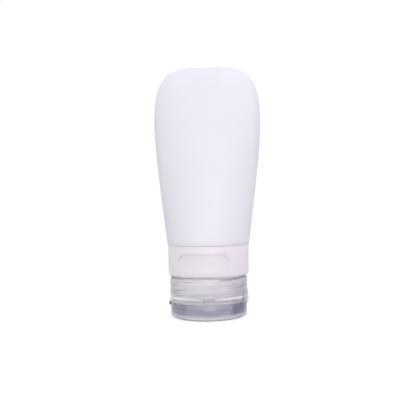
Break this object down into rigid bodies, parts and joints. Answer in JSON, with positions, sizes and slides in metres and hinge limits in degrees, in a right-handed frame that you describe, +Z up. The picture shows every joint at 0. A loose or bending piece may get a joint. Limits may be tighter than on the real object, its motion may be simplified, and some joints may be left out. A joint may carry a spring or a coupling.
{
  "type": "travel squeeze bottle",
  "caption": "Flattened silicone travel squeeze bottle standing on its hinged flip-top screw cap, with a windowed collar, turning label ring and drip valve.",
  "frame": {"origin": "on the bottle's axis, on the face of the closed lid that the bottle stands on", "axes": "+Z up along the bottle's axis towards its closed end, +X towards the lid's hinge, -Y the broad front with the collar's window"},
  "size_m": [0.0585, 0.0448, 0.136],
  "materials": {
    "silicone": "translucent satin white silicone",
    "collar_plastic": "translucent white moulded plastic with a soft satin surface",
    "label_plastic": "plain white moulded plastic",
    "cap_plastic": "clear glossy moulded plastic",
    "lid_plastic": "clear glossy moulded plastic",
    "pin_plastic": "smooth drawn plastic rod",
    "valve_silicone": "soft clear silicone",
    "retainer_plastic": "natural white moulded plastic",
    "seal_silicone": "soft white silicone ring"
  },
  "bodies": {
    "bottle": {"squeeze_body": "silicone", "collar": "collar_plastic"},
    "ring": {"label_ring": "label_plastic"},
    "seal": {"cap_seal": "seal_silicone"},
    "cap": {"screw_cap": "cap_plastic", "hinge_pin": "pin_plastic", "drip_valve": "valve_silicone", "valve_retainer": "retainer_plastic"},
    "lid": {"flip_lid": "lid_plastic"}
  },
  "joints": [
    {"name": "label_turn", "type": "hinge", "parent": "bottle", "child": "ring", "pos_m": [0, 0, 0.031], "axis": [0, 0, 1], "continuous": true},
    {"name": "cap_lift", "type": "slide", "parent": "bottle", "child": "seal", "axis": [0, 0, -1], "range_m": [0, 0.0063]},
    {"name": "cap_turn", "type": "hinge", "parent": "seal", "child": "cap", "pos_m": [0, 0, 0.0165], "axis": [0, 0, -1], "range_deg": [0, 540]},
    {"name": "lid_hinge", "type": "hinge", "parent": "cap", "child": "lid", "pos_m": [0.0199, 0, 0.00847], "axis": [0, -1, 0], "range_deg": [0, 120]}
  ],
  "couplings": [
    {"joint": "cap_lift", "follows": "cap_turn", "m_per_rad": 0.00066845}
  ]
}
